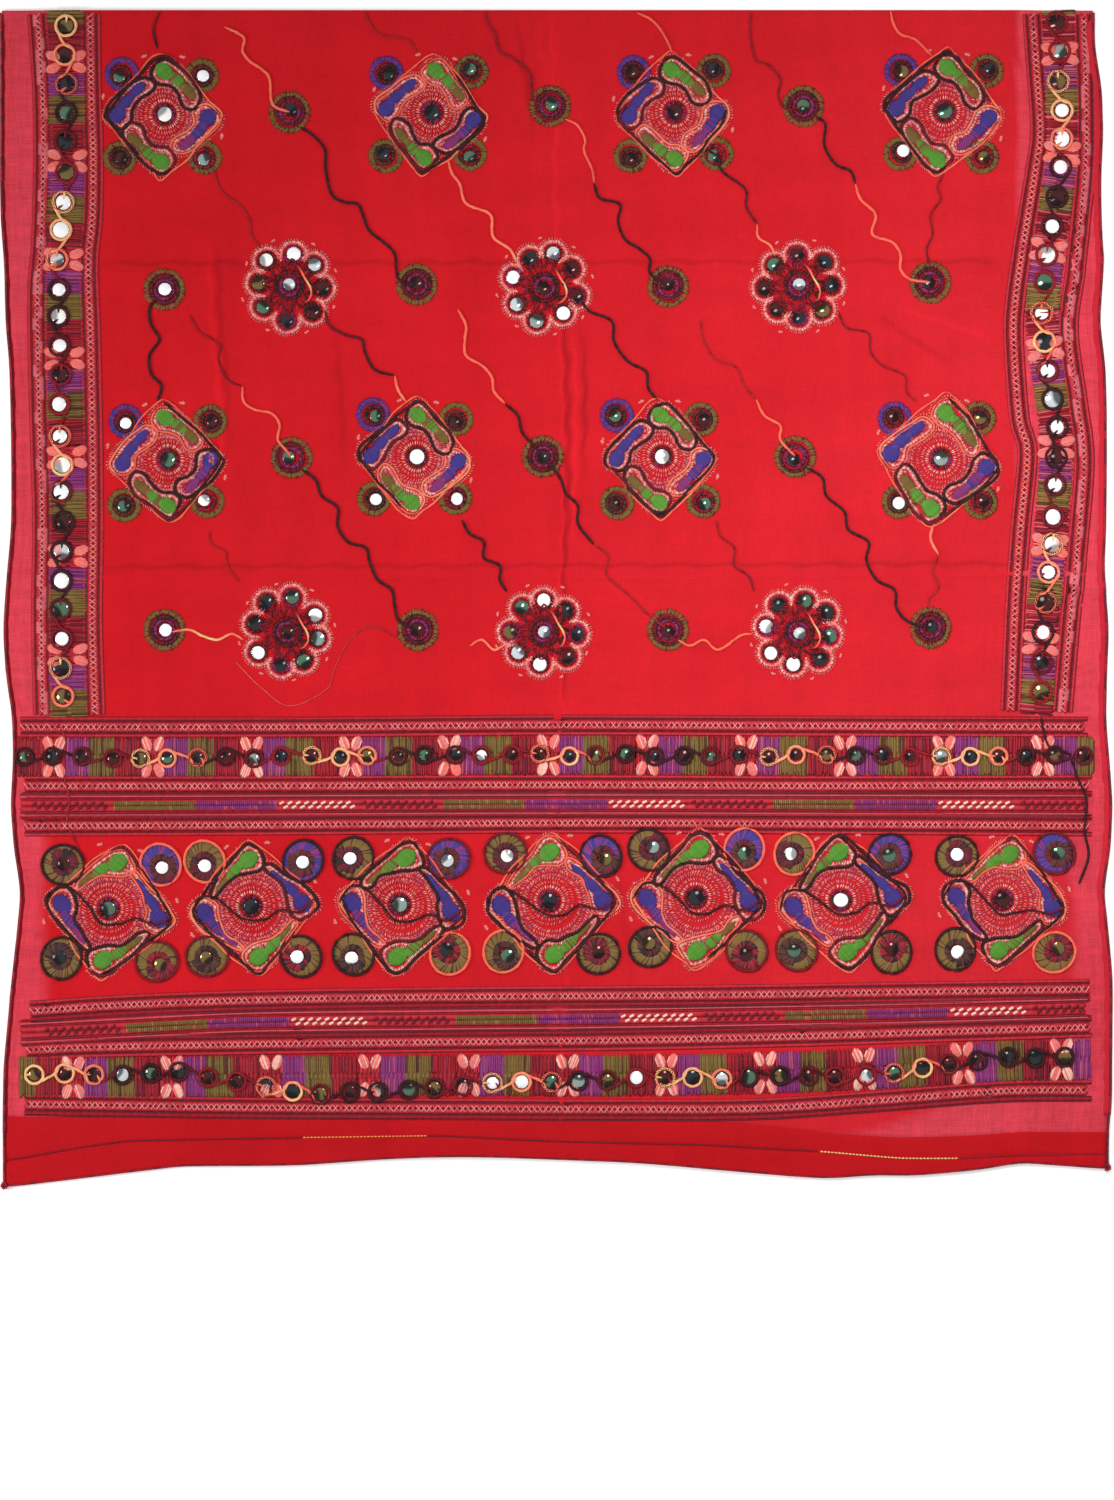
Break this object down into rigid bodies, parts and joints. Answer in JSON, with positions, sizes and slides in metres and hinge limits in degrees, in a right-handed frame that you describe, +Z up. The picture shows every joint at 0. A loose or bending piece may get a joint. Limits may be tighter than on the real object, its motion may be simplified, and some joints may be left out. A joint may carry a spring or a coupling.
{
  "type": "dupatta",
  "caption": "Long thin red cotton dupatta with mirror and thread embroidery, folded across its middle and laid flat with its turned end hem to the front.",
  "frame": {"origin": "on the surface the cloth lies on, under the middle of its outline", "axes": "+Z up off the surface, +Y towards the fold, +X to the right with the embroidered face up and the fold at the far edge"},
  "size_m": [1.0681, 1.13, 0.0063],
  "materials": {
    "field_cloth": "thin plain-woven cotton, matt with fine slubs",
    "hidden_cloth": "thin plain-woven cotton, matt",
    "hem_cloth": "turned and stitched cotton, matt",
    "thread": "cotton and rayon embroidery thread, soft sheen",
    "yarn": "couched space-dyed yarn, matt",
    "mirror": "small silvered glass discs"
  },
  "bodies": {
    "root": {"upper_half": "field_cloth", "under_half": "hidden_cloth", "end_hem": "hem_cloth", "left_hem": "hem_cloth", "right_hem": "hem_cloth"}
  },
  "joints": []
}
